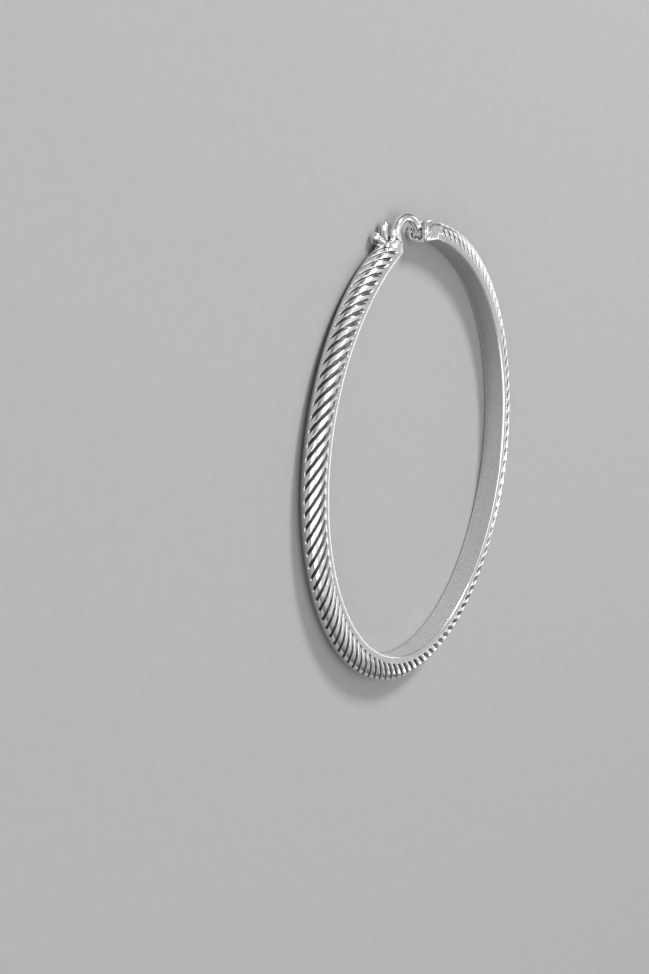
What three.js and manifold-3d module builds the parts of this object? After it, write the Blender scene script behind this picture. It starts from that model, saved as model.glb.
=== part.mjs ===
// Large ribbed hoop earring with a hinged ear wire, in millimetres.
// The hoop lies on its side: its axis runs along Z, one side rim rests on z = 0,
// and +Y points to the middle of the ear wire. The hinge is on the +X side.
// The shapes are made about the hoop's axis and moved to the middle of the base at the end.
import * as THREE from "three";
import { mergeVertices } from "three/addons/utils/BufferGeometryUtils.js";
import Module from "manifold-3d";

// Band of the hoop
const outerDiameter = 50;
const bandWidth = 2.5;
const bandThickness = 2.7;
const sideHeight = 1.25;
const rimHeight = 0.75;
const edgeRound = 0.15;

// Slanted grooves in the upper half of the outer dome, with ribs left between them
const ribPitch = 1.428;
const grooveDepth = 0.28;
const grooveRun = 0.15;
const ribsAcross = 5;
const ribFade = 1.3;
const plainEnd = 0.9;

// Ear wire: an arch from the pin to the catch
const wireDiameter = 1;
const wireSpan = 6;
const archHeight = 2.15;
const eyeDiameter = 1.26;

// Hinge pin and the slotted fork that holds it
const pinDiameter = 0.52;
const pinDepth = 1.1;
const pinClearance = 0.08;
const forkSideInset = 0.08;
const forkLip = 0.85;
const forkTopDepth = 0.15;
const forkFloorRise = 0.5;
const forkCorner = 1;
const forkTopCorner = 0.8;
const forkEdge = 0.12;
const slotSideClearance = 0.2;
const slotFloorClearance = 0.12;
const slotRun = 2.5;

// Catch: a small trough on the free end of the band, with flared and beaded corners
const catchClearance = 0.16;
const endRounding = 0.4;
const hornDiameter = 0.84;
const webDiameter = 0.56;
const beadDiameter = 1;
const smallBeadDiameter = 0.58;
const hornSpread = 0.6;
const hornHeight = 1.3;
const catchLength = 3;

// The band is thinner toward both of its ends
const catchThinning = 0.95;
const catchThinningLength = 14;
const hingeThinning = 0.75;
const hingeThinningLength = 11;

// Places worked out from the sizes above
const outerRadius = outerDiameter / 2;
const innerRadius = outerRadius - bandThickness;
const rimRadius = innerRadius + rimHeight;
const sideRadius = innerRadius + sideHeight;
const domeRise = outerRadius - sideRadius;
const halfWidth = bandWidth / 2;
const domeLength = (Math.PI * (domeRise + halfWidth)) / 2;
const domeSlant = domeLength / (domeLength + 2 * (sideRadius - rimRadius));
const wireRadius = wireDiameter / 2;
const pinArc = wireSpan / 2;
const pinPlace = outerRadius - pinDepth;
const slotEndArc = pinArc + slotRun;
const forkEndArc = slotEndArc + 0.5;
const catchEndArc = -(wireSpan / 2 + wireRadius + catchClearance);
const catchCutArc = catchEndArc - endRounding;
const slotHalf = wireRadius + slotSideClearance;
const slotFloor = pinPlace - eyeDiameter / 2 - slotFloorClearance;
const forkHalf = halfWidth - forkSideInset;

const wasm = await Module();
wasm.setup();

// A point at an arc length along the outer circle (zero at +Y, plus toward the hinge),
// a distance from the hoop's axis and a distance across the band from its middle.
function spot(arc, radius, across = 0) {
  const turn = arc / outerRadius;
  const x = radius * Math.sin(turn);
  const y = radius * Math.cos(turn);
  return new THREE.Vector3(x, y, halfWidth + across);
}

function smooth(share) {
  const s = Math.min(1, Math.max(0, share));
  return s * s * (3 - 2 * s);
}

// How far a place on the band is from its catch end and from its hinge end.
function fromEnds(turn) {
  const full = 2 * Math.PI;
  const back = (((-turn % full) + full) % full) * outerRadius + catchCutArc;
  const ahead = (((turn % full) + full) % full) * outerRadius - slotEndArc;
  return { catchSide: back, hingeSide: ahead };
}

// Share of the band's full thickness that is left at this place.
function thicknessShare(turn) {
  const { catchSide, hingeSide } = fromEnds(turn);
  const nearCatch = Math.max(0, 1 - Math.max(0, catchSide) / catchThinningLength);
  const nearHinge = Math.max(0, 1 - Math.max(0, hingeSide) / hingeThinningLength);
  const lost = catchThinning * nearCatch ** 1.7 + hingeThinning * nearHinge ** 1.7;
  return 1 - lost / bandThickness;
}

// The grooves run out before both ends of the band.
function grooveShare(turn) {
  const { catchSide, hingeSide } = fromEnds(turn);
  const nearest = Math.min(catchSide - plainEnd, hingeSide);
  return smooth(nearest / ribFade);
}

// One row of the dome at an angle round it: 0 at the upper side, 90 at the crest, 180 at the
// lower side. Its groove share is how deep the grooves are there.
function domeRow({ degrees, groove }) {
  const u = THREE.MathUtils.degToRad(degrees);
  const normal = new THREE.Vector2(Math.sin(u) / domeRise, Math.cos(u) / halfWidth).normalize();
  return {
    radius: sideRadius + domeRise * Math.sin(u),
    across: halfWidth * Math.cos(u),
    inward: normal.multiplyScalar(groove),
    twist: domeSlant * (0.5 - u / Math.PI),
  };
}

// One row of the flat upper side, a height outside its plain rim.
function sideRow(height, groove) {
  const share = height / (sideRadius - rimRadius);
  return {
    radius: rimRadius + height,
    across: halfWidth,
    inward: new THREE.Vector2(0, groove),
    twist: (1 - share * (1 - domeSlant)) / 2,
  };
}

function plainRow(radius, across) {
  return { radius, across, inward: new THREE.Vector2(0, 0), twist: across > 0 ? 0.5 : -0.5 };
}

function bandRows(domeRows) {
  return [
    plainRow(innerRadius, -halfWidth + edgeRound),
    plainRow(innerRadius, halfWidth - edgeRound),
    plainRow(innerRadius + edgeRound, halfWidth),
    sideRow(0, 0),
    sideRow(grooveRun, domeRows[0].groove),
    ...domeRows.map(domeRow),
    plainRow(innerRadius + edgeRound, -halfWidth),
  ];
}

function thinned(radius, turn) {
  return outerRadius - (outerRadius - radius) * thicknessShare(turn);
}

// A whole ribbed ring. Rows run round the section, sections run round the ring,
// and each row is turned a little further than the last so that the ribs slant.
function ribbedRing() {
  const rows = bandRows([
    { degrees: 0, groove: 1 },
    { degrees: 30, groove: 1 },
    { degrees: 60, groove: 1 },
    { degrees: 90, groove: 0.9 },
    { degrees: 106, groove: 0 },
    { degrees: 142, groove: 0 },
    { degrees: 180, groove: 0 },
  ]);
  const ribCount = Math.round((2 * Math.PI * outerRadius) / ribPitch);
  const pitch = (2 * Math.PI) / ribCount;
  const ribSections = [
    { along: 0, depth: 1 },
    { along: 0.34, depth: 0 },
    { along: 0.66, depth: 0 },
  ];
  const perRib = ribSections.length;
  const count = ribCount * perRib;
  const positions = [];
  for (const row of rows) {
    for (let i = 0; i < count; i += 1) {
      const section = ribSections[i % perRib];
      const turn = pitch * (Math.floor(i / perRib) + section.along + row.twist * ribsAcross);
      const depth = grooveDepth * section.depth * grooveShare(turn);
      const radius = thinned(row.radius - depth * row.inward.x, turn);
      const point = spot(turn * outerRadius, radius, row.across - depth * row.inward.y);
      positions.push(point.x, point.y, point.z);
    }
  }
  const index = [];
  rows.forEach((row, j) => {
    const next = (j + 1) % rows.length;
    const skip = j === 0 ? ribsAcross * perRib : 0;
    for (let i = 0; i < count; i += 1) {
      const k = (i + 1) % count;
      const a = j * count + i;
      const b = j * count + k;
      const c = next * count + ((k - skip + count) % count);
      const d = next * count + ((i - skip + count) % count);
      index.push(a, b, c, a, c, d);
    }
  });
  return meshOf(positions, index);
}

function meshOf(positions, index) {
  const geometry = new THREE.BufferGeometry();
  geometry.setAttribute("position", new THREE.Float32BufferAttribute(positions, 3));
  geometry.setIndex(index);
  return geometry;
}

// A closed body through sections that have as many points each, with flat ends.
function loft(sections) {
  const count = sections[0].length;
  const positions = sections.flat().flatMap((point) => point.toArray());
  const index = [];
  for (let s = 0; s + 1 < sections.length; s += 1) {
    for (let i = 0; i < count; i += 1) {
      const k = (i + 1) % count;
      const a = s * count + i;
      const b = s * count + k;
      index.push(a, b + count, b, a, a + count, b + count);
    }
  }
  const last = (sections.length - 1) * count;
  for (let i = 1; i + 1 < count; i += 1) {
    index.push(0, i, i + 1, last, last + i + 1, last + i);
  }
  return meshOf(positions, index);
}

function solidOf(geometry) {
  const bare = geometry.clone();
  bare.deleteAttribute("normal");
  bare.deleteAttribute("uv");
  const merged = mergeVertices(bare, 1e-4);
  return new wasm.Manifold(
    new wasm.Mesh({
      numProp: 3,
      vertProperties: merged.attributes.position.array,
      triVerts: new Uint32Array(merged.index.array),
    }),
  );
}

function joined(geometries) {
  return geometries.map(solidOf).reduce((sum, solid) => sum.add(solid));
}

function geometryOf(solid) {
  const mesh = solid.getMesh();
  const positions = [];
  for (let i = 0; i < mesh.numVert; i += 1) {
    positions.push(...mesh.vertProperties.subarray(i * mesh.numProp, i * mesh.numProp + 3));
  }
  return meshOf(positions, Array.from(mesh.triVerts));
}

// A flat outline in the hoop's plane, given as arc and radius pairs, with a height along Z.
function slab(outline, low, high, bevel = 0) {
  const points = outline.map(([arc, radius]) => {
    const point = spot(arc, radius);
    return new THREE.Vector2(point.x, point.y);
  });
  const geometry = new THREE.ExtrudeGeometry(new THREE.Shape(points), {
    depth: high - low - 2 * bevel,
    bevelEnabled: bevel > 0,
    bevelSize: bevel,
    bevelThickness: bevel,
    bevelOffset: -bevel,
    bevelSegments: 2,
  });
  return geometry.translate(0, 0, halfWidth + low + bevel);
}

// The part of the ring that is taken out between the ends of the band.
function gapCutter() {
  const low = innerRadius - bandThickness;
  const high = outerRadius + bandThickness;
  const middle = (catchCutArc + slotEndArc) / 2;
  const outline = [
    [catchCutArc, low],
    [slotEndArc, low],
    [slotEndArc, high],
    [middle, high],
    [catchCutArc, high],
  ];
  return slab(outline, -bandWidth, bandWidth);
}

// The rounded nose that closes the catch end of the band.
function endNose() {
  const rows = bandRows([5, 45, 90, 135, 175].map((degrees) => ({ degrees, groove: 0 })));
  const stations = [
    { along: -0.8, scale: 0.985 },
    { along: 0, scale: 0.985 },
    { along: 0.5, scale: 0.95 },
    { along: 0.87, scale: 0.84 },
    { along: 1, scale: 0.68 },
  ];
  const centre = (innerRadius + outerRadius) / 2;
  const sections = stations.map(({ along, scale }) => {
    const arc = catchCutArc + along * endRounding;
    return rows.map((row) => {
      const radius = centre + (row.radius - centre) * scale;
      return spot(arc, thinned(radius, arc / outerRadius), row.across * scale);
    });
  });
  return loft(sections);
}

function circle(radius, sides) {
  const shape = new THREE.Shape();
  for (let i = 0; i < sides; i += 1) {
    const turn = (2 * Math.PI * i) / sides;
    const x = radius * Math.cos(turn);
    const y = radius * Math.sin(turn);
    if (i === 0) shape.moveTo(x, y);
    else shape.lineTo(x, y);
  }
  shape.closePath();
  return shape;
}

// A round bar along a smooth curve through the given points.
function bar(points, diameter, sides, steps) {
  return new THREE.ExtrudeGeometry(circle(diameter / 2, sides), {
    steps,
    extrudePath: new THREE.CatmullRomCurve3(points, false, "centripetal"),
    bevelEnabled: false,
  });
}

function ball(place, diameter, around = 12, down = 8) {
  return new THREE.SphereGeometry(diameter / 2, around, down).translate(place.x, place.y, place.z);
}

// Upright round bar along Z, centred on the pin.
function pinBar(diameter, length, sides = 16) {
  const place = spot(pinArc, pinPlace);
  const geometry = new THREE.CylinderGeometry(diameter / 2, diameter / 2, length, sides);
  return geometry.rotateX(Math.PI / 2).translate(place.x, place.y, place.z);
}

// A point of the catch. Back is a share of its length from the end of the band, up a share of
// the horns' height above the band, and side a share of the horns' spread.
function catchSpot({ back, up, side }) {
  return spot(catchEndArc - back * catchLength, outerRadius + up * hornHeight, side * hornSpread);
}

// The lower wall of the trough carries two beaded horns with a dip between them, the upper wall
// is low and ends in a small upright lip, and a thin ridge runs from the lip down the end.
function catchPieces() {
  const nearTip = catchSpot({ back: 0.25, up: 1, side: -1 });
  const nearWaist = catchSpot({ back: 0.36, up: 0.36, side: -0.8 });
  const nearRoot = catchSpot({ back: 0.45, up: -0.35, side: -0.4 });
  const farTip = catchSpot({ back: 0.93, up: 0.76, side: -1 });
  const farWaist = catchSpot({ back: 0.78, up: 0.32, side: -0.8 });
  const farRoot = catchSpot({ back: 0.64, up: -0.35, side: -0.4 });
  const propFoot = catchSpot({ back: 0.55, up: -0.35, side: -1.3 });
  const lip = catchSpot({ back: 0.31, up: 0.68, side: 0.9 });
  const lipWaist = catchSpot({ back: 0.35, up: 0.15, side: 1 });
  const wallEnd = catchSpot({ back: 0.93, up: 0.16, side: 1 });
  const wallMiddle = catchSpot({ back: 0.6, up: -0.02, side: 1 });
  const ridgeMiddle = catchSpot({ back: 0.18, up: 0.1, side: 1.35 });
  const ridgeFoot = catchSpot({ back: 0.1, up: -0.6, side: 1.45 });
  return [
    bar([nearRoot, nearWaist, nearTip], hornDiameter, 10, 4),
    bar([farRoot, farWaist, farTip], hornDiameter, 10, 4),
    bar([nearWaist, farWaist], webDiameter, 10, 1),
    bar([farWaist, propFoot], webDiameter, 10, 1),
    bar([lip, lipWaist, wallMiddle, wallEnd], smallBeadDiameter * 0.85, 10, 6),
    bar([lip, ridgeMiddle, ridgeFoot], smallBeadDiameter * 0.75, 8, 4),
    ball(nearTip, beadDiameter),
    ball(farTip, beadDiameter),
    ball(lip, smallBeadDiameter, 10, 6),
    ball(wallEnd, smallBeadDiameter, 10, 6),
  ];
}

// Section of the fork across the band, turned about the hoop's axis: flat sides, rounded corners.
function forkEnvelope() {
  const low = innerRadius + forkFloorRise;
  const top = outerRadius - forkTopDepth;
  const profile = [];
  const corner = (centreRadius, centreHeight, size, from) => {
    for (let i = 0; i <= 4; i += 1) {
      const turn = from + (Math.PI / 8) * i;
      const r = centreRadius + size * Math.cos(turn);
      profile.push(new THREE.Vector2(r, centreHeight + size * Math.sin(turn)));
    }
  };
  corner(low + forkCorner, -forkHalf + forkCorner, forkCorner, Math.PI);
  corner(top - forkTopCorner, -forkHalf + forkTopCorner, forkTopCorner, 1.5 * Math.PI);
  corner(top - forkTopCorner, forkHalf - forkTopCorner, forkTopCorner, 0);
  corner(low + forkCorner, forkHalf - forkCorner, forkCorner, 0.5 * Math.PI);
  profile.push(profile[0].clone());
  const ring = new THREE.LatheGeometry(profile, 180);
  return ring.rotateX(Math.PI / 2).translate(0, 0, halfWidth);
}

// Side view of the fork: a rounded nose below the pin, rising to the top of the band.
function forkOutline() {
  const low = innerRadius;
  const top = outerRadius;
  const tip = pinArc - forkLip;
  return [
    [tip + 0.35, low],
    [forkEndArc, low],
    [forkEndArc, top],
    [pinArc + 0.25, top],
    [pinArc - 0.25, pinPlace + 0.8],
    [tip + 0.3, pinPlace + 0.6],
    [tip + 0.06, pinPlace + 0.35],
    [tip, pinPlace],
    [tip + 0.06, pinPlace - 0.5],
    [tip + 0.2, pinPlace - 0.85],
  ];
}

function slotOutline() {
  const start = pinArc - 2 * forkLip;
  return [
    [start, slotFloor],
    [slotEndArc, slotFloor],
    [slotEndArc, outerRadius + bandThickness],
    [start, outerRadius + bandThickness],
  ];
}

function forkSolid() {
  const block = solidOf(slab(forkOutline(), -forkHalf, forkHalf, forkEdge));
  return block.intersect(solidOf(forkEnvelope()));
}

function hoopGeometry() {
  const band = solidOf(ribbedRing()).subtract(solidOf(gapCutter()));
  const catchSolid = joined([endNose(), ...catchPieces()]);
  const slot = solidOf(slab(slotOutline(), -slotHalf, slotHalf));
  const bore = solidOf(pinBar(pinDiameter + 2 * pinClearance, 2 * bandWidth));
  const whole = band.add(catchSolid).add(forkSolid()).subtract(slot).subtract(bore);
  return geometryOf(whole);
}

// Route of the wire. Columns: share of the span from the middle, share of the arch above the pin.
function wireRoute() {
  const route = [
    { along: -0.45, up: -0.04 },
    { along: -0.46, up: 0.12 },
    { along: -0.485, up: 0.38 },
    { along: -0.488, up: 0.58 },
    { along: -0.455, up: 0.75 },
    { along: -0.39, up: 0.88 },
    { along: -0.24, up: 0.99 },
    { along: -0.06, up: 0.98 },
    { along: 0.14, up: 0.78 },
    { along: 0.31, up: 0.47 },
    { along: 0.42, up: 0.2 },
    { along: 0.5, up: 0 },
  ];
  return route.map(({ along, up }) => spot(along * wireSpan, pinPlace + up * archHeight));
}

function earWireGeometry() {
  const route = wireRoute();
  const eye = pinBar(eyeDiameter, wireDiameter, 24);
  const tip = ball(route[0], wireDiameter * 0.99, 12, 8);
  const wire = joined([bar(route, wireDiameter, 12, 26), eye, tip]);
  const bore = solidOf(pinBar(pinDiameter + 2 * pinClearance, 2 * bandWidth));
  return geometryOf(wire.subtract(bore));
}

function hingePinGeometry() {
  return pinBar(pinDiameter, 2 * forkHalf + 0.04);
}

const silver = { color: 0xd9dadc, roughness: 0.16, metalness: 1 };

function piece(name, geometry) {
  const mesh = new THREE.Mesh(geometry, new THREE.MeshStandardMaterial(silver));
  mesh.name = name;
  return mesh;
}

// Moves every piece so that the origin is the middle of the base.
function centreOnBase(group) {
  const box = new THREE.Box3().setFromObject(group);
  const middle = box.getCenter(new THREE.Vector3());
  for (const mesh of group.children) {
    mesh.geometry.translate(-middle.x, -middle.y, -box.min.z);
  }
}

const earring = new THREE.Group();
earring.add(piece("hoop", hoopGeometry()));
earring.add(piece("ear_wire", earWireGeometry()));
earring.add(piece("hinge_pin", hingePinGeometry()));
centreOnBase(earring);

export default earring;
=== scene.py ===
"""Looks of the large ribbed hoop earring, in metres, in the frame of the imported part.

Shapes are made in millimetres about the hoop's axis and moved to the part's frame at the end.
A place on the band has an arc length along the outer circle, a radius and a place across.
"""

import math

import bmesh
import bpy
import numpy as np
from mathutils import Matrix, Vector


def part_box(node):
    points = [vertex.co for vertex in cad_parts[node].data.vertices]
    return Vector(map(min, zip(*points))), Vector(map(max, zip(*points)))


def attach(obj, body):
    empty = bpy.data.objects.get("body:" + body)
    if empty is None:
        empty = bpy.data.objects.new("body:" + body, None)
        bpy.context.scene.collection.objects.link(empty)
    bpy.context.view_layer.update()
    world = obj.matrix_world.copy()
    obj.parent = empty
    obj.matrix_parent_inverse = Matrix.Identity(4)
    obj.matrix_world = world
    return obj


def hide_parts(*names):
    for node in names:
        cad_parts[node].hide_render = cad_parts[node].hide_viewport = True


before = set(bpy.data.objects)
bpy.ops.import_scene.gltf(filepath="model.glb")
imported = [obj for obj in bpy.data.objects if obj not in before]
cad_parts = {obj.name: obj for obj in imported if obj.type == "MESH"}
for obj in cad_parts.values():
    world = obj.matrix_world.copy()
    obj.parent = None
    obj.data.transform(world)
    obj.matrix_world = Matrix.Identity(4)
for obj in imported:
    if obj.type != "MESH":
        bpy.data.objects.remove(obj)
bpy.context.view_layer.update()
MM = 0.001
POLE_RADIUS = 1e-4
CUT_TOLERANCE = 1e-6

# Band of the hoop
OUTER_RADIUS = 25.0
BAND_WIDTH = 2.5
BAND_THICKNESS = 2.7
SIDE_HEIGHT = 1.25
RIM_HEIGHT = 0.75
EDGE_ROUND = 0.17
HALF_WIDTH = BAND_WIDTH / 2
INNER_RADIUS = OUTER_RADIUS - BAND_THICKNESS
RIM_RADIUS = INNER_RADIUS + RIM_HEIGHT
SIDE_RADIUS = INNER_RADIUS + SIDE_HEIGHT
DOME_RISE = OUTER_RADIUS - SIDE_RADIUS
DOME_LENGTH = math.pi * (DOME_RISE + HALF_WIDTH) / 2
SIDE_RUN = SIDE_RADIUS - RIM_RADIUS
DOME_SLANT = DOME_LENGTH / (DOME_LENGTH + 2 * SIDE_RUN)

# Rows of the band's section: shares of the half width on the inner face, heights outside the
# plain rim on the upper side, and degrees round the dome. The columns of the two sides meet
# after the seam row.
FACE_SHARES = (-0.84, -0.8, -0.4, -0.02, 0.4, 0.8, 0.84)
SEAM_ROW = 3
SATIN_SHARE = 0.82
EDGE_STEPS = 5
RIM_ROW_DEPTH = 0.2
SIDE_HEIGHTS = (-0.02, 0.0, 0.035, 0.07, 0.105, 0.14, 0.24, 0.36)
GROOVED_DEGREES = np.linspace(0, 95, 20)
GROOVE_END_DEGREES = (98.0, 100.0, 102.0, 104.0, 106.0, 108.0, 111.0)
FAR_DEGREES = np.linspace(118, 180, 10)

# Slanted grooves in the dome. Widths and the wall are shares of one rib's pitch, the end is in
# degrees round the dome, and runs and fades are lengths.
RIB_COUNT = 110
RIBS_ACROSS = 5
GROOVE_DEPTH = 0.27
GROOVE_RIM_WIDTH = 0.64
GROOVE_CREST_WIDTH = 0.44
GROOVE_NARROWING = 1.2
GROOVE_WALL = 0.15
GROOVE_RUN = 0.14
GROOVE_END = 107.0
GROOVE_END_RUN = 0.2
GROOVE_END_BOW = 0.8
COLUMNS_PER_RIB = 14
COLUMN_CROWDING = 0.035
RIB_FADE = 1.0
HINGE_FADE = 0.3
PLAIN_END = 0.8
WIDE_RIM = 0.4

# Ear wire and pin
WIRE_RADIUS = 0.5
WIRE_SPAN = 6.0
WIRE_END_SHARE = 0.9
ARCH_HEIGHT = 2.15
EYE_RADIUS = 0.63
EYE_CROWN = 0.06
EYE_OVERLAP = 0.1
PIN_RADIUS = 0.26
PIN_DEPTH = 1.1
PIN_CLEARANCE = 0.08
PIN_CROWN = 0.03
PIN_PROUD = 0.02
PIN_ARC = WIRE_SPAN / 2
PIN_PLACE = OUTER_RADIUS - PIN_DEPTH
BAR_END_SHARE = 0.6

# Fork that holds the pin
FORK_LIP = 0.85
FORK_HALF = HALF_WIDTH - 0.08
FORK_END_HALF = HALF_WIDTH - 0.01
FORK_SIDE_POWER = 0.62
FORK_HEIGHT_POWER = 0.7
FORK_SQUARING = 0.34
FORK_VOXEL = 0.03
FORK_RELAX = 12
BOSS_RADIUS = 0.6
BOSS_CROWN = 0.12
SLOT_END_ARC = PIN_ARC + 2.5
SLOT_HALF = 0.69
SLOT_CORNER = 0.4
SLOT_FLAT = 1.1
SLOT_SLOPE_LENGTH = 1.7
SLOT_SLOPE_RISE = 3.0
SLOT_FLOOR = PIN_PLACE - EYE_RADIUS - 0.12
SLOT_TOP = OUTER_RADIUS + 2

# Catch on the free end of the band
CATCH_END_ARC = -3.55
END_ROUNDING = 0.7
CATCH_CUT_ARC = CATCH_END_ARC - END_ROUNDING
END_INSET = 0.62
END_STEPS = 10
HORN_SPREAD = 0.6
HORN_HEIGHT = 1.3
CATCH_LENGTH = 3.0
CATCH_VOXEL = 0.035
CATCH_RELAX = 6

# Tarnish and painted shade in the hollows of the castings
HOLLOW_ROUNDS = 40
HOLLOW_DEPTH = 0.035

# The band is thinner toward both of its ends
CATCH_THINNING = 0.95
CATCH_THINNING_LENGTH = 14.0
HINGE_THINNING = 0.75
HINGE_THINNING_LENGTH = 11.0
THINNING_POWER = 1.7

AXIS_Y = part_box("hoop")[0][1] / MM + OUTER_RADIUS

# Stations before the band's rounded end: share of the rounding, scale of the section.
NOSE_START = [(-1.5, 1.004), (-0.6, 1.006), (0.0, 1.0)]

# Bars of the catch. Each point: back, up and side shares, then the bar's radius there.
CATCH_BARS = [
    [
        (0.5, -0.4, -0.2, 0.5),
        (0.41, 0.2, -0.7, 0.45),
        (0.31, 0.62, -0.95, 0.41),
        (0.25, 1.0, -1.0, 0.48),
    ],
    [
        (0.62, -0.4, -0.3, 0.5),
        (0.76, 0.24, -0.75, 0.44),
        (0.87, 0.6, -0.95, 0.41),
        (0.93, 0.76, -1.0, 0.48),
    ],
    [(0.38, 0.24, -0.75, 0.36), (0.58, 0.04, -0.8, 0.36), (0.8, 0.28, -0.8, 0.36)],
    [(0.36, -0.1, -0.9, 0.4), (0.58, -0.25, -0.95, 0.4), (0.8, -0.1, -0.9, 0.38)],
    [(0.74, 0.1, -1.0, 0.36), (0.76, -0.12, -1.3, 0.33), (0.74, -0.32, -1.48, 0.31)],
    [(0.3, 0.66, 0.85, 0.27), (0.33, 0.3, 0.9, 0.28), (0.42, 0.0, 0.95, 0.29)],
    [(0.4, 0.02, 0.95, 0.28), (0.65, -0.05, 0.95, 0.27), (0.9, 0.06, 0.9, 0.3)],
    [(0.38, 0.2, -0.7, 0.3), (0.34, 0.0, 0.1, 0.3), (0.34, 0.12, 0.8, 0.28)],
    [
        (0.31, 0.62, 0.9, 0.24),
        (0.2, 0.15, 1.25, 0.22),
        (0.12, -0.25, 1.45, 0.21),
        (0.07, -0.7, 1.6, 0.17),
    ],
]

# Side view of the fork: distance from its tip, and heights of its edges above the pin.
FORK_TOP = [
    (0, 0),
    (0.07, 0.33),
    (0.3, 0.6),
    (0.85, 0.72),
    (1.5, 0.7),
    (2.1, 0.84),
    (2.8, 1.04),
    (4.2, 1.07),
]
FORK_LOW = [(0, 0), (0.05, -0.45), (0.2, -0.85), (0.45, -1.1), (2.0, -1.08), (4.2, -0.85)]
FORK_LENGTH = FORK_TOP[-1][0]
FORK_TIP_STEPS = [0.003, 0.02, 0.045, 0.08, 0.13, 0.2, 0.3, 0.42, 0.55, 0.7]
FORK_STEPS = FORK_TIP_STEPS + list(np.linspace(0.85, FORK_LENGTH, 24))
FORK_SIDES = 64

# Route of the wire: share of the span from the middle, share of the arch above the pin.
WIRE_ROUTE = [
    (-0.45, -0.04),
    (-0.46, 0.12),
    (-0.485, 0.38),
    (-0.488, 0.58),
    (-0.455, 0.75),
    (-0.39, 0.88),
    (-0.24, 0.99),
    (-0.06, 0.98),
    (0.14, 0.78),
    (0.31, 0.47),
    (0.42, 0.2),
    (0.5, 0.0),
]

# Silver, with each piece's roughness and strength of marks. Bump depth is in metres.
POLISHED = (0.9, 0.9, 0.91, 1)
CLOUDED = (0.82, 0.82, 0.83, 1)
# Dark tone: tarnish in the band's grooves, and painted shade with tarnish in the castings'
# hollows.
TARNISH_AND_PAINTED_SHADE = (0.14, 0.14, 0.145, 1)
BAND_FINISH = (0.1, 0.25)
CAST_FINISH = (0.12, 0.5)
WIRE_FINISH = (0.07, 0.15)
ROUGHNESS_SPREAD = 0.1
GROOVE_ROUGHNESS = 0.3
SATIN_ROUGHNESS = 0.22
FULL_TARNISH_AND_SHADE_SHARE = 0.6
MARK_DEPTH = 0.00002

# Studio: pale floor, world tones by height, and area lights.
FLOOR_HALF = 1.5
FLOOR_DROP = 0.00002
FLOOR_ROUGHNESS = 0.85
FLOOR_TONES = ((0.25, 0.252, 0.255, 1), (0.28, 0.282, 0.285, 1))
WORLD_TONES = ((0.08, (0.1, 0.1, 0.105, 1)), (0.75, (0.85, 0.85, 0.86, 1)))
WORLD_STRENGTH = 0.9
# Each light: name, place, aim, width and height, watts.
LIGHTS = [
    ("key", (0.3, 0.5, 0.42), (0, 0, 0), (0.16, 0.16), 6),
    ("left", (-0.6, -0.2, 0.3), (0, 0, 0.05), (0.9, 0.4), 2.2),
    ("far", (0.85, -0.3, 0.2), (0, 0, 0.02), (0.7, 0.25), 0.9),
    ("top", (-0.1, 0.0, 0.7), (0, 0, 0), (0.7, 0.7), 1.6),
]

# Camera, placed from the hoop's axis
CAMERA_LENS = 98.85
CAMERA_PLACE = (-0.25055, 0.08595, 0.12078)
CAMERA_RIGHT = (0.4529, -0.0299, 0.8911)
CAMERA_UP = (0.2872, 0.9511, -0.1141)


# Measures of the band


def spot(arc, radius, across=0.0):
    """A point at an arc length along the outer circle, zero at +Y and plus toward the hinge."""
    turn = np.asarray(arc) / OUTER_RADIUS
    x = radius * np.sin(turn)
    y = radius * np.cos(turn)
    return np.stack(np.broadcast_arrays(x, y, HALF_WIDTH + np.asarray(across)), axis=-1)


def smooth(share):
    """A share held between 0 and 1, with a soft start and end."""
    s = np.clip(share, 0.0, 1.0)
    return s * s * (3 - 2 * s)


def from_ends(turn):
    """How far a place on the band is from its catch end and from its hinge end."""
    full = 2 * math.pi
    back = np.mod(-turn, full) * OUTER_RADIUS + CATCH_CUT_ARC
    ahead = np.mod(turn, full) * OUTER_RADIUS - SLOT_END_ARC
    return back, ahead


def nearness(distance, reach):
    """One at an end of the band, and zero from the reach on."""
    return np.maximum(0, 1 - np.maximum(0, distance) / reach)


def thickness_share(turn):
    back, ahead = from_ends(turn)
    near_catch = nearness(back, CATCH_THINNING_LENGTH) ** THINNING_POWER
    near_hinge = nearness(ahead, HINGE_THINNING_LENGTH) ** THINNING_POWER
    lost = CATCH_THINNING * near_catch + HINGE_THINNING * near_hinge
    return 1 - lost / BAND_THICKNESS


def thinned(radius, turn):
    return OUTER_RADIUS - (OUTER_RADIUS - radius) * thickness_share(turn)


def groove_share(turn):
    """How deep the grooves are, zero on the plain stretch by the catch."""
    back, ahead = from_ends(turn)
    return smooth(np.minimum((back - PLAIN_END) / RIB_FADE, (ahead + HINGE_FADE) / HINGE_FADE))


def rim_delay(turn):
    """How much wider the plain rim is toward the catch."""
    back, _ = from_ends(turn)
    return WIDE_RIM * nearness(back, CATCH_THINNING_LENGTH)


# Meshes


def mesh_object(name, vertices, faces):
    mesh = bpy.data.meshes.new(name)
    mesh.from_pydata(np.asarray(vertices).tolist(), [], [list(f) for f in faces])
    mesh.update()
    made = bpy.data.objects.new(name, mesh)
    bpy.context.scene.collection.objects.link(made)
    return made


def outward(made):
    """Turns all faces outward."""
    whole = bmesh.new()
    whole.from_mesh(made.data)
    bmesh.ops.recalc_face_normals(whole, faces=whole.faces[:])
    whole.to_mesh(made.data)
    whole.free()


def closed_loft(name, vertices, count):
    """A closed body through rings of as many vertices, with a flat cap on both ends."""
    last = len(vertices) - count
    faces = [tuple(range(count)), tuple(range(last, last + count))]
    for a in range(0, last, count):
        for i in range(count):
            k = (i + 1) % count
            faces.append((a + i, a + k, a + count + k, a + count + i))
    made = mesh_object(name, vertices, faces)
    outward(made)
    return made


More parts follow.
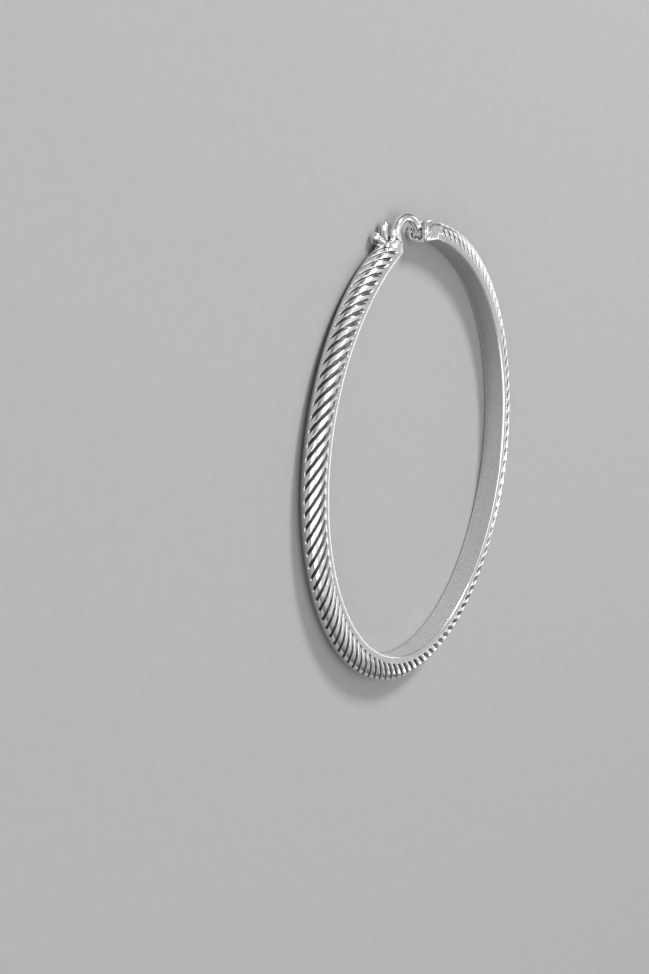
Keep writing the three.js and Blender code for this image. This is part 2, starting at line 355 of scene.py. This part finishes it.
def to_frame(made):
    """Moves a piece from millimetres about the hoop's axis to the part's frame."""
    made.data.transform(Matrix.Scale(MM, 4) @ Matrix.Translation((0, AXIS_Y, 0)))


def shade(made, sharp_degrees=180.0):
    """Smooth shading, with sharp edges where the faces turn by more than the angle."""
    made.data.shade_smooth()
    if sharp_degrees < 180:
        made.data.set_sharp_from_angle(angle=math.radians(sharp_degrees))


def apply_modifiers(made):
    graph = bpy.context.evaluated_depsgraph_get()
    baked = bpy.data.meshes.new_from_object(made.evaluated_get(graph))
    made.modifiers.clear()
    made.data = baked


def discard(made):
    bpy.data.objects.remove(made)


def fused(name, parts, voxel, relax):
    """One smooth skin round several overlapping closed pieces, as in a casting."""
    whole = bmesh.new()
    for part in parts:
        whole.from_mesh(part.data)
        discard(part)
    mesh = bpy.data.meshes.new(name)
    whole.to_mesh(mesh)
    whole.free()
    made = bpy.data.objects.new(name, mesh)
    bpy.context.scene.collection.objects.link(made)
    remesh = made.modifiers.new("skin", "REMESH")
    remesh.mode = "VOXEL"
    remesh.voxel_size = voxel
    relaxed = made.modifiers.new("relax", "SMOOTH")
    relaxed.factor = 0.5
    relaxed.iterations = relax
    apply_modifiers(made)
    return made


def combined(base, other, operation):
    cut = base.modifiers.new(operation, "BOOLEAN")
    cut.operation = operation
    cut.solver = "EXACT"
    cut.object = other
    apply_modifiers(base)
    discard(other)


def store_share(made, name, shares):
    """Keeps a share for each vertex, which the silver reads by its name."""
    attribute = made.data.attributes.new(name, "FLOAT", "POINT")
    attribute.data.foreach_set("value", np.asarray(shares, dtype=np.float32))


def darken_hollows(made):
    """Stores a share that grows in the hollows, where a smoothed surface stands proud, for tarnish
    and painted shade.
    """
    mesh = made.data
    points = np.empty(len(mesh.vertices) * 3)
    mesh.vertices.foreach_get("co", points)
    points = points.reshape(-1, 3)
    normals = np.empty(points.size, dtype=np.float32)
    mesh.vertex_normals.foreach_get("vector", normals)
    edges = np.empty(len(mesh.edges) * 2, dtype=np.int32)
    mesh.edges.foreach_get("vertices", edges)
    starts = np.concatenate([edges[::2], edges[1::2]])
    ends = np.concatenate([edges[1::2], edges[::2]])
    count = np.maximum(np.bincount(starts, minlength=len(points)), 1)
    smoothed = points.copy()
    for _ in range(HOLLOW_ROUNDS):
        sums = [np.bincount(starts, smoothed[ends, axis], len(points)) for axis in range(3)]
        smoothed = np.column_stack(sums) / count[:, None]
    raised = np.sum((smoothed - points) * normals.reshape(-1, 3), axis=1)
    store_share(made, "groove", np.clip(raised / HOLLOW_DEPTH, 0, 1))


# Section of the band. Each row has a radius, a place across, the direction in which a groove is
# cut, a share of satin finish, a twist that slants the ribs, and its length along the section
# from the plain rim.


def side_row(height):
    """A row of the flat upper side, a height outside its plain rim."""
    return {
        "radius": RIM_RADIUS + height,
        "across": HALF_WIDTH,
        "inward": np.array([0.0, 1.0]),
        "satin": 0.0,
        "twist": (1 - height / SIDE_RUN * (1 - DOME_SLANT)) / 2,
        "length": height,
    }


def dome_row(degrees):
    """A row of the dome, at 0 degrees on the upper side and at 90 on the crest."""
    u = math.radians(degrees)
    normal = np.array([math.sin(u) / DOME_RISE, math.cos(u) / HALF_WIDTH])
    return {
        "radius": SIDE_RADIUS + DOME_RISE * math.sin(u),
        "across": HALF_WIDTH * math.cos(u),
        "inward": normal / np.linalg.norm(normal),
        "satin": 0.0,
        "twist": DOME_SLANT * (0.5 - u / math.pi),
        "length": SIDE_RUN + DOME_LENGTH * u / math.pi,
    }


def plain_row(radius, across, satin=0.0):
    """A row without grooves, past their end."""
    return {
        "radius": radius,
        "across": across,
        "inward": np.zeros(2),
        "satin": satin,
        "twist": 0.5 if across > 0 else -0.5,
        "length": 2 * DOME_LENGTH,
    }


def rounded_edge(side):
    """Rows round the inner edge of the band on one side, from the side to the inner face."""
    rows = []
    for turn in np.linspace(0, math.pi / 2, EDGE_STEPS + 1):
        radius = INNER_RADIUS + EDGE_ROUND * (1 - math.sin(turn))
        across = side * (HALF_WIDTH - EDGE_ROUND * (1 - math.cos(turn)))
        rows.append(plain_row(radius, across))
    return rows


def band_rows():
    """All rows, round the section from the middle of the inner face by the upper side."""
    face = [
        plain_row(INNER_RADIUS, share * HALF_WIDTH, float(abs(share) < SATIN_SHARE))
        for share in FACE_SHARES
    ]
    rim = [plain_row(RIM_RADIUS - RIM_ROW_DEPTH, HALF_WIDTH)]
    side = [side_row(height) for height in SIDE_HEIGHTS]
    turns = [*GROOVED_DEGREES, *GROOVE_END_DEGREES, *FAR_DEGREES]
    dome = [dome_row(degrees) for degrees in turns]
    return face + rounded_edge(1)[::-1] + rim + side + dome + rounded_edge(-1)


# Ribbed band


def groove_profile(phase, length):
    """Depth share over one rib's pitch. A groove has a wide floor and steep walls."""
    last = SIDE_RUN + DOME_LENGTH * GROOVE_END / 180
    along = smooth(np.clip(length / last, 0, 1) * GROOVE_NARROWING)
    width = GROOVE_RIM_WIDTH + (GROOVE_CREST_WIDTH - GROOVE_RIM_WIDTH) * along
    away = np.minimum(phase, 1 - phase)
    across = smooth((width / 2 - away) / GROOVE_WALL)
    starts = smooth(length / GROOVE_RUN)
    blunt = GROOVE_END_RUN * (1 + GROOVE_END_BOW * (away / width) ** 2)
    ends = smooth((last - length) / blunt)
    return across * starts * ends


def column_phases():
    """Columns are closer together on the walls of the grooves."""
    even = (np.arange(COLUMNS_PER_RIB) + 0.5) / COLUMNS_PER_RIB
    return even + COLUMN_CROWDING * np.sin(4 * math.pi * even)


def ring_faces(rows, columns):
    """Quads between the rows. The slant of the ribs is taken back at the seam row."""
    faces = []
    for j in range(rows):
        after = (j + 1) % rows
        shift = RIBS_ACROSS * COLUMNS_PER_RIB if j == SEAM_ROW else 0
        for i in range(columns):
            k = (i + 1) % columns
            c = after * columns + (k - shift) % columns
            d = after * columns + (i - shift) % columns
            faces.append((j * columns + i, j * columns + k, c, d))
    return faces


def ribbed_ring():
    """The whole ring, before the ear gap is cut."""
    rows = band_rows()
    pitch = 2 * math.pi / RIB_COUNT
    ribs = np.repeat(np.arange(RIB_COUNT), COLUMNS_PER_RIB)
    phase = np.tile(column_phases(), RIB_COUNT)
    columns = len(ribs)
    vertices, grooves, satin = [], [], []
    for row in rows:
        turn = pitch * (ribs + phase + row["twist"] * RIBS_ACROSS)
        length = row["length"] - rim_delay(turn)
        share = groove_profile(phase, length) * groove_share(turn)
        depth = GROOVE_DEPTH * share
        radius = thinned(row["radius"] - depth * row["inward"][0], turn)
        across = row["across"] - depth * row["inward"][1]
        vertices.append(spot(turn * OUTER_RADIUS, radius, across))
        grooves.append(share)
        satin.append(np.full(columns, row["satin"]))
    faces = ring_faces(len(rows), columns)
    ring = mesh_object("ribbed_band", np.concatenate(vertices), faces)
    store_share(ring, "groove", np.concatenate(grooves))
    store_share(ring, "satin", np.concatenate(satin))
    return ring


def cut_gap(ring):
    """Takes the ear gap out of the whole ring and closes both ends."""
    whole = bmesh.new()
    whole.from_mesh(ring.data)
    first = CATCH_CUT_ARC / OUTER_RADIUS
    last = SLOT_END_ARC / OUTER_RADIUS
    for turn in (first, last):
        bmesh.ops.bisect_plane(
            whole,
            geom=whole.verts[:] + whole.edges[:] + whole.faces[:],
            dist=CUT_TOLERANCE,
            plane_co=(0, 0, 0),
            plane_no=Vector((math.cos(turn), -math.sin(turn), 0)),
        )
    gone = []
    for face in whole.faces:
        centre = face.calc_center_median()
        if first < math.atan2(centre.x, centre.y) < last:
            gone.append(face)
    bmesh.ops.delete(whole, geom=gone, context="FACES")
    open_edges = [edge for edge in whole.edges if edge.is_boundary]
    bmesh.ops.holes_fill(whole, edges=open_edges, sides=0)
    whole.to_mesh(ring.data)
    whole.free()


# Bars and wires


def curve_through(points, steps):
    """Centripetal curve through the points, with as many samples in each span."""
    points = np.asarray(points, dtype=float)
    first = 2 * points[0] - points[1]
    last = 2 * points[-1] - points[-2]
    p = np.vstack([first, points, last])
    out = []
    for k in range(1, len(p) - 2):
        knots = [0.0]
        for a, b in ((k - 1, k), (k, k + 1), (k + 1, k + 2)):
            knots.append(knots[-1] + math.sqrt(np.linalg.norm(p[b, :3] - p[a, :3])) + 1e-9)
        t = np.linspace(knots[1], knots[2], steps, endpoint=False)[:, None]
        t0, t1, t2, t3 = knots
        a1 = (t1 - t) / (t1 - t0) * p[k - 1] + (t - t0) / (t1 - t0) * p[k]
        a2 = (t2 - t) / (t2 - t1) * p[k] + (t - t1) / (t2 - t1) * p[k + 1]
        a3 = (t3 - t) / (t3 - t2) * p[k + 1] + (t - t2) / (t3 - t2) * p[k + 2]
        b1 = (t2 - t) / (t2 - t0) * a1 + (t - t0) / (t2 - t0) * a2
        b2 = (t3 - t) / (t3 - t1) * a2 + (t - t1) / (t3 - t1) * a3
        out.append((t2 - t) / (t2 - t1) * b1 + (t - t1) / (t2 - t1) * b2)
    out.append(points[-1:])
    return np.vstack(out)


def round_cap(centre, outward_way, size, steps=8):
    """Centres and sizes of the rings of a half ball past the end of a bar."""
    turns = np.linspace(0, math.pi / 2, steps + 1)[1:]
    return [(centre + outward_way * size * math.sin(a), size * math.cos(a)) for a in turns]


def tube(name, points, radii, sides=40, steps=8):
    """A round bar of changing radius along a curve, with both ends rounded."""
    samples = curve_through(np.column_stack([points, radii]), steps)
    centres = samples[:, :3]
    sizes = samples[:, 3]
    tangents = np.gradient(centres, axis=0)
    tangents /= np.linalg.norm(tangents, axis=1)[:, None]
    start = round_cap(centres[0], -tangents[0], sizes[0])
    end = round_cap(centres[-1], tangents[-1], sizes[-1])
    stations = start[::-1] + list(zip(centres, sizes)) + end
    axes = [tangents[0]] * len(start) + list(tangents) + [tangents[-1]] * len(end)
    side = np.cross(axes[0], (0.0, 0.0, 1.0))
    if np.linalg.norm(side) < 0.1:
        side = np.cross(axes[0], (1.0, 0.0, 0.0))
    vertices = []
    turns = np.linspace(0, 2 * math.pi, sides, endpoint=False)
    for (centre, size), axis in zip(stations, axes):
        side = side - axis * side.dot(axis)
        side /= np.linalg.norm(side)
        other = np.cross(axis, side)
        size = max(size, POLE_RADIUS)
        for turn in turns:
            vertices.append(centre + size * (math.cos(turn) * side + math.sin(turn) * other))
    return closed_loft(name, vertices, sides)


def pin_bar(name, radius, low, high, sides=48, crown=0.0):
    """A bar along Z about the pin, its ends raised a little in the middle."""
    place = spot(PIN_ARC, PIN_PLACE)
    start = [(low, 0.0), (low, BAR_END_SHARE), (low + crown, 1.0)]
    end = [(high - crown, 1.0), (high, BAR_END_SHARE), (high, 0.0)]
    vertices = []
    for level, share in start + end:
        size = max(radius * share, POLE_RADIUS)
        for i in range(sides):
            turn = 2 * math.pi * i / sides
            x = place[0] + size * math.cos(turn)
            y = place[1] + size * math.sin(turn)
            vertices.append((x, y, HALF_WIDTH + level))
    return closed_loft(name, vertices, sides)


def bore(radius):
    """A body to be cut away about the pin, through the whole width."""
    return pin_bar("bore", radius, -BAND_WIDTH, BAND_WIDTH)


def wire_pieces():
    points = [spot(x * WIRE_SPAN, PIN_PLACE + z * ARCH_HEIGHT) for x, z in WIRE_ROUTE]
    radii = [WIRE_RADIUS] * (len(points) - 1) + [WIRE_RADIUS * WIRE_END_SHARE]
    arch = tube("ear_wire_arch", points, radii, sides=64, steps=14)
    eye = pin_bar("ear_wire_eye", EYE_RADIUS, -WIRE_RADIUS, WIRE_RADIUS, sides=96, crown=EYE_CROWN)
    combined(arch, bore(EYE_RADIUS - EYE_OVERLAP), "DIFFERENCE")
    combined(eye, bore(PIN_RADIUS + PIN_CLEARANCE), "DIFFERENCE")
    return arch, eye


def rivet():
    half = FORK_HALF + PIN_PROUD
    return pin_bar("rivet", PIN_RADIUS, -half, half, crown=PIN_CROWN)


# Catch


def catch_spot(back, up, side):
    """A point of the catch, in shares of its length, its horns' height and their spread."""
    arc = CATCH_END_ARC - back * CATCH_LENGTH
    return spot(arc, OUTER_RADIUS + up * HORN_HEIGHT, side * HORN_SPREAD)


def end_nose():
    """The plain last stretch of the band with its rounded end."""
    stations = list(NOSE_START)
    for k in range(1, END_STEPS + 1):
        turn = k / END_STEPS * math.pi / 2
        stations.append((math.sin(turn), 1 - END_INSET * (1 - math.cos(turn))))
    rows = band_rows()
    centre = (INNER_RADIUS + OUTER_RADIUS) / 2
    vertices = []
    for along, scale in stations:
        arc = CATCH_CUT_ARC + along * END_ROUNDING
        for row in rows:
            radius = thinned(centre + (row["radius"] - centre) * scale, arc / OUTER_RADIUS)
            vertices.append(spot(arc, radius, row["across"] * scale))
    return closed_loft("nose", vertices, len(rows))


def catch_piece():
    parts = [end_nose()]
    for bar in CATCH_BARS:
        points = [catch_spot(back, up, side) for back, up, side, _ in bar]
        parts.append(tube("bar", points, [radius for *_, radius in bar]))
    catch = fused("catch", parts, CATCH_VOXEL, CATCH_RELAX)
    darken_hollows(catch)
    return catch


# Fork


def arc_points(centre, size, start, end, count):
    turns = np.radians(np.linspace(start, end, count))
    return [(centre[0] + size * math.cos(t), centre[1] + size * math.sin(t)) for t in turns]


def swept(name, sections, arcs):
    """A closed body through cross-sections of radius and across pairs, one at each arc."""
    vertices = [spot(arc, r, a) for arc, section in zip(arcs, sections) for r, a in section]
    return closed_loft(name, vertices, len(sections[0]))


def squared(wave, power):
    """A wave between -1 and 1 that is fuller for a lower power."""
    return np.sign(wave) * np.abs(wave) ** power


def fork_block():
    """The fork before its slot is cut: a round lobe about the pin that grows into the band."""
    turns = np.linspace(0, 2 * math.pi, FORK_SIDES, endpoint=False)
    sections = []
    for step in FORK_STEPS:
        grown = smooth(step / FORK_LENGTH)
        top = PIN_PLACE + np.interp(step, *zip(*FORK_TOP))
        low = PIN_PLACE + np.interp(step, *zip(*FORK_LOW))
        side = FORK_HALF + (FORK_END_HALF - FORK_HALF) * grown
        squarer = FORK_SQUARING * grown * (np.sin(turns) < 0)
        across = side * squared(np.cos(turns), FORK_SIDE_POWER - squarer)
        height = squared(np.sin(turns), FORK_HEIGHT_POWER - squarer)
        radius = (top + low) / 2 + (top - low) / 2 * height
        sections.append(list(zip(radius, across)))
    return swept("fork", sections, [PIN_ARC - FORK_LIP + step for step in FORK_STEPS])


def slot_body():
    """The open slot between the cheeks, with rounded floor corners and a sloping end."""
    low, corner = SLOT_FLOOR, SLOT_CORNER
    section = arc_points((low + corner, -SLOT_HALF + corner), corner, 180, 270, 8)
    section += [(SLOT_TOP, -SLOT_HALF), (SLOT_TOP, SLOT_HALF)]
    section += arc_points((low + corner, SLOT_HALF - corner), corner, 90, 180, 8)
    raised = [(r + SLOT_SLOPE_RISE, a) for r, a in section]
    flat_end = PIN_ARC + SLOT_FLAT
    arcs = [PIN_ARC - 2 * FORK_LIP, flat_end, flat_end + SLOT_SLOPE_LENGTH]
    return swept("slot", [section, section, raised], arcs)


def fork_piece():
    fork = fork_block()
    boss = pin_bar("boss", BOSS_RADIUS, -HALF_WIDTH, HALF_WIDTH, crown=BOSS_CROWN)
    combined(fork, boss, "UNION")
    combined(fork, slot_body(), "DIFFERENCE")
    combined(fork, bore(PIN_RADIUS + PIN_CLEARANCE), "DIFFERENCE")
    fork = fused("hinge_fork", [fork], FORK_VOXEL, FORK_RELAX)
    darken_hollows(fork)
    return fork


# Materials


def node(tree, kind, **inputs):
    """A node with values on its inputs, which are named with underscores for spaces."""
    made = tree.nodes.new(kind)
    for key, value in inputs.items():
        made.inputs[key.replace("_", " ")].default_value = value
    return made


def feed(tree, term, socket):
    """Links a socket, or sets a value."""
    if isinstance(term, bpy.types.NodeSocket):
        tree.links.new(term, socket)
    else:
        socket.default_value = term


def worked_out(tree, operation, *terms):
    made = tree.nodes.new("ShaderNodeMath")
    made.operation = operation
    for term, socket in zip(terms, made.inputs):
        feed(tree, term, socket)
    return made.outputs["Value"]


def mixed(tree, share, first, second):
    made = tree.nodes.new("ShaderNodeMix")
    made.data_type = "RGBA"
    for term, index in ((share, 0), (first, 6), (second, 7)):
        feed(tree, term, made.inputs[index])
    return made.outputs[2]


def mapped(tree, value, **limits):
    made = node(tree, "ShaderNodeMapRange", **limits)
    tree.links.new(value, made.inputs["Value"])
    return made


def stored(tree, name):
    made = tree.nodes.new("ShaderNodeAttribute")
    made.attribute_name = name
    return made.outputs["Fac"]


def noise(tree, where, scale, detail, roughness):
    made = node(tree, "ShaderNodeTexNoise", Scale=scale, Detail=detail, Roughness=roughness)
    tree.links.new(where, made.inputs["Vector"])
    return made.outputs["Fac"]


def satin_speckle_and_painted_light(tree, where, fine):
    """Speckled inner face satin, with painted light: brighter at minus Y, darker at plus Y."""
    speckle = mapped(tree, fine, From_Min=0.3, From_Max=0.7, To_Min=0.42, To_Max=0.78)
    parts = tree.nodes.new("ShaderNodeSeparateXYZ")
    tree.links.new(where, parts.inputs["Vector"])
    # Painted light and shade: the satin is brighter on the minus Y side and darker on the plus Y
    # side.
    ends = {"From_Min": -0.016, "From_Max": 0.008, "To_Min": 1.25, "To_Max": 0.8}
    painted_light_side = mapped(tree, parts.outputs["Y"], **ends)
    painted_light_side.interpolation_type = "SMOOTHSTEP"
    return worked_out(tree, "MULTIPLY", speckle.outputs["Result"], painted_light_side.outputs["Result"])


def scratched(tree, where, cloud, strength):
    """Fine drawn-out scratches over a faint waviness."""
    stretch = node(tree, "ShaderNodeMapping", Scale=(1.0, 1.0, 9.0), Rotation=(0.3, 0.2, 0.5))
    tree.links.new(where, stretch.inputs["Vector"])
    scratches = noise(tree, stretch.outputs["Vector"], 2500.0, 8.0, 0.75)
    bump = node(tree, "ShaderNodeBump", Strength=strength, Distance=MARK_DEPTH)
    tree.links.new(worked_out(tree, "ADD", scratches, cloud), bump.inputs["Height"])
    return bump.outputs["Normal"]


def silver(name, finish):
    """Polished silver: bright land, dark dull grooves, painted shade in hollows, a satin inner
    face with painted light, fine scratches.
    """
    rough, marks = finish
    material = bpy.data.materials.new(name)
    material.use_nodes = True
    tree = material.node_tree
    tree.nodes.clear()
    out = tree.nodes.new("ShaderNodeOutputMaterial")
    body = node(tree, "ShaderNodeBsdfPrincipled", Metallic=1.0)
    tree.links.new(body.outputs["BSDF"], out.inputs["Surface"])
    where = tree.nodes.new("ShaderNodeTexCoord").outputs["Object"]

    # The stored share darkens the band's grooves with tarnish and the castings' hollows with
    # painted shade and tarnish.
    groove = mapped(tree, stored(tree, "groove"), From_Max=FULL_TARNISH_AND_SHADE_SHARE).outputs["Result"]
    satin = stored(tree, "satin")
    cloud = noise(tree, where, 700.0, 6.0, 0.6)
    fine = noise(tree, where, 9000.0, 4.0, 0.7)

    land = mixed(tree, cloud, POLISHED, CLOUDED)
    outer = mixed(tree, groove, land, TARNISH_AND_PAINTED_SHADE)
    colour = mixed(tree, satin, outer, satin_speckle_and_painted_light(tree, where, fine))
    tree.links.new(colour, body.inputs["Base Color"])

    dull = mapped(tree, fine, To_Min=rough, To_Max=rough + ROUGHNESS_SPREAD).outputs["Result"]
    duller = worked_out(tree, "MULTIPLY_ADD", groove, GROOVE_ROUGHNESS, dull)
    brushed = worked_out(tree, "MULTIPLY_ADD", satin, SATIN_ROUGHNESS, duller)
    tree.links.new(brushed, body.inputs["Roughness"])
    tree.links.new(scratched(tree, where, cloud, marks), body.inputs["Normal"])
    return material


# Studio


def floor_material():
    material = bpy.data.materials.new("pale_paper")
    material.use_nodes = True
    tree = material.node_tree
    body = tree.nodes["Principled BSDF"]
    body.inputs["Roughness"].default_value = FLOOR_ROUGHNESS
    where = tree.nodes.new("ShaderNodeTexCoord").outputs["Object"]
    grain = noise(tree, where, 600.0, 5.0, 0.5)
    tree.links.new(mixed(tree, grain, *FLOOR_TONES), body.inputs["Base Color"])
    return material


def backdrop():
    whole = bmesh.new()
    bmesh.ops.create_grid(whole, x_segments=2, y_segments=2, size=FLOOR_HALF)
    mesh = bpy.data.meshes.new("floor")
    whole.to_mesh(mesh)
    whole.free()
    floor = bpy.data.objects.new("floor", mesh)
    floor.location = (0, 0, -FLOOR_DROP)
    bpy.context.scene.collection.objects.link(floor)
    mesh.materials.append(floor_material())


def area_light(name, place, aim, size, power):
    light = bpy.data.lights.new(name, "AREA")
    light.shape = "RECTANGLE"
    light.size = size[0]
    light.size_y = size[1]
    light.energy = power
    made = bpy.data.objects.new(name, light)
    made.location = place
    heading = Vector(aim) - Vector(place)
    made.rotation_euler = heading.to_track_quat("-Z", "Y").to_euler()
    bpy.context.scene.collection.objects.link(made)


def studio():
    """A world that is brighter overhead, and soft area lights."""
    world = bpy.data.worlds.new("studio")
    bpy.context.scene.world = world
    world.use_nodes = True
    bpy.context.scene.view_settings.view_transform = "Standard"
    tree = world.node_tree
    background = tree.nodes["Background"]
    where = tree.nodes.new("ShaderNodeTexCoord").outputs["Generated"]
    parts = tree.nodes.new("ShaderNodeSeparateXYZ")
    tree.links.new(where, parts.inputs["Vector"])
    tones = tree.nodes.new("ShaderNodeValToRGB")
    for element, (position, colour) in zip(tones.color_ramp.elements, WORLD_TONES):
        element.position = position
        element.color = colour
    tree.links.new(parts.outputs["Z"], tones.inputs["Fac"])
    tree.links.new(tones.outputs["Color"], background.inputs["Color"])
    background.inputs["Strength"].default_value = WORLD_STRENGTH
    for light in LIGHTS:
        area_light(*light)


def camera():
    data = bpy.data.cameras.new("camera")
    data.lens = CAMERA_LENS
    data.sensor_width = 36
    data.clip_start = 0.01
    data.dof.use_dof = False
    made = bpy.data.objects.new("camera", data)
    right = Vector(CAMERA_RIGHT)
    up = Vector(CAMERA_UP)
    place = Vector(CAMERA_PLACE) + Vector((0, AXIS_Y * MM, 0))
    axes = Matrix((right, up, right.cross(up))).transposed()
    made.matrix_world = Matrix.Translation(place) @ axes.to_4x4()
    bpy.context.scene.collection.objects.link(made)
    bpy.context.scene.camera = made


# The whole earring


def finish_piece(made, material, body, *nodes):
    made.data.materials.clear()
    made.data.materials.append(material)
    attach(made, body)
    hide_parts(*nodes)


def build():
    band_silver = silver("band_silver", BAND_FINISH)
    cast_silver = silver("cast_silver", CAST_FINISH)
    wire_silver = silver("wire_silver", WIRE_FINISH)
    band = ribbed_ring()
    cut_gap(band)
    shade(band, 40)
    catch = catch_piece()
    shade(catch)
    fork = fork_piece()
    shade(fork)
    arch, eye = wire_pieces()
    shade(arch, 50)
    shade(eye, 50)
    pin = rivet()
    shade(pin, 60)
    for made in (band, catch, fork, arch, eye, pin):
        to_frame(made)
    finish_piece(band, band_silver, "hoop_body", "hoop")
    finish_piece(catch, cast_silver, "hoop_body", "hoop")
    finish_piece(fork, cast_silver, "hoop_body", "hoop")
    finish_piece(arch, wire_silver, "ear_wire_body", "ear_wire")
    finish_piece(eye, wire_silver, "ear_wire_body", "ear_wire")
    finish_piece(pin, wire_silver, "hoop_body", "hinge_pin")


camera()
studio()
backdrop()
build()
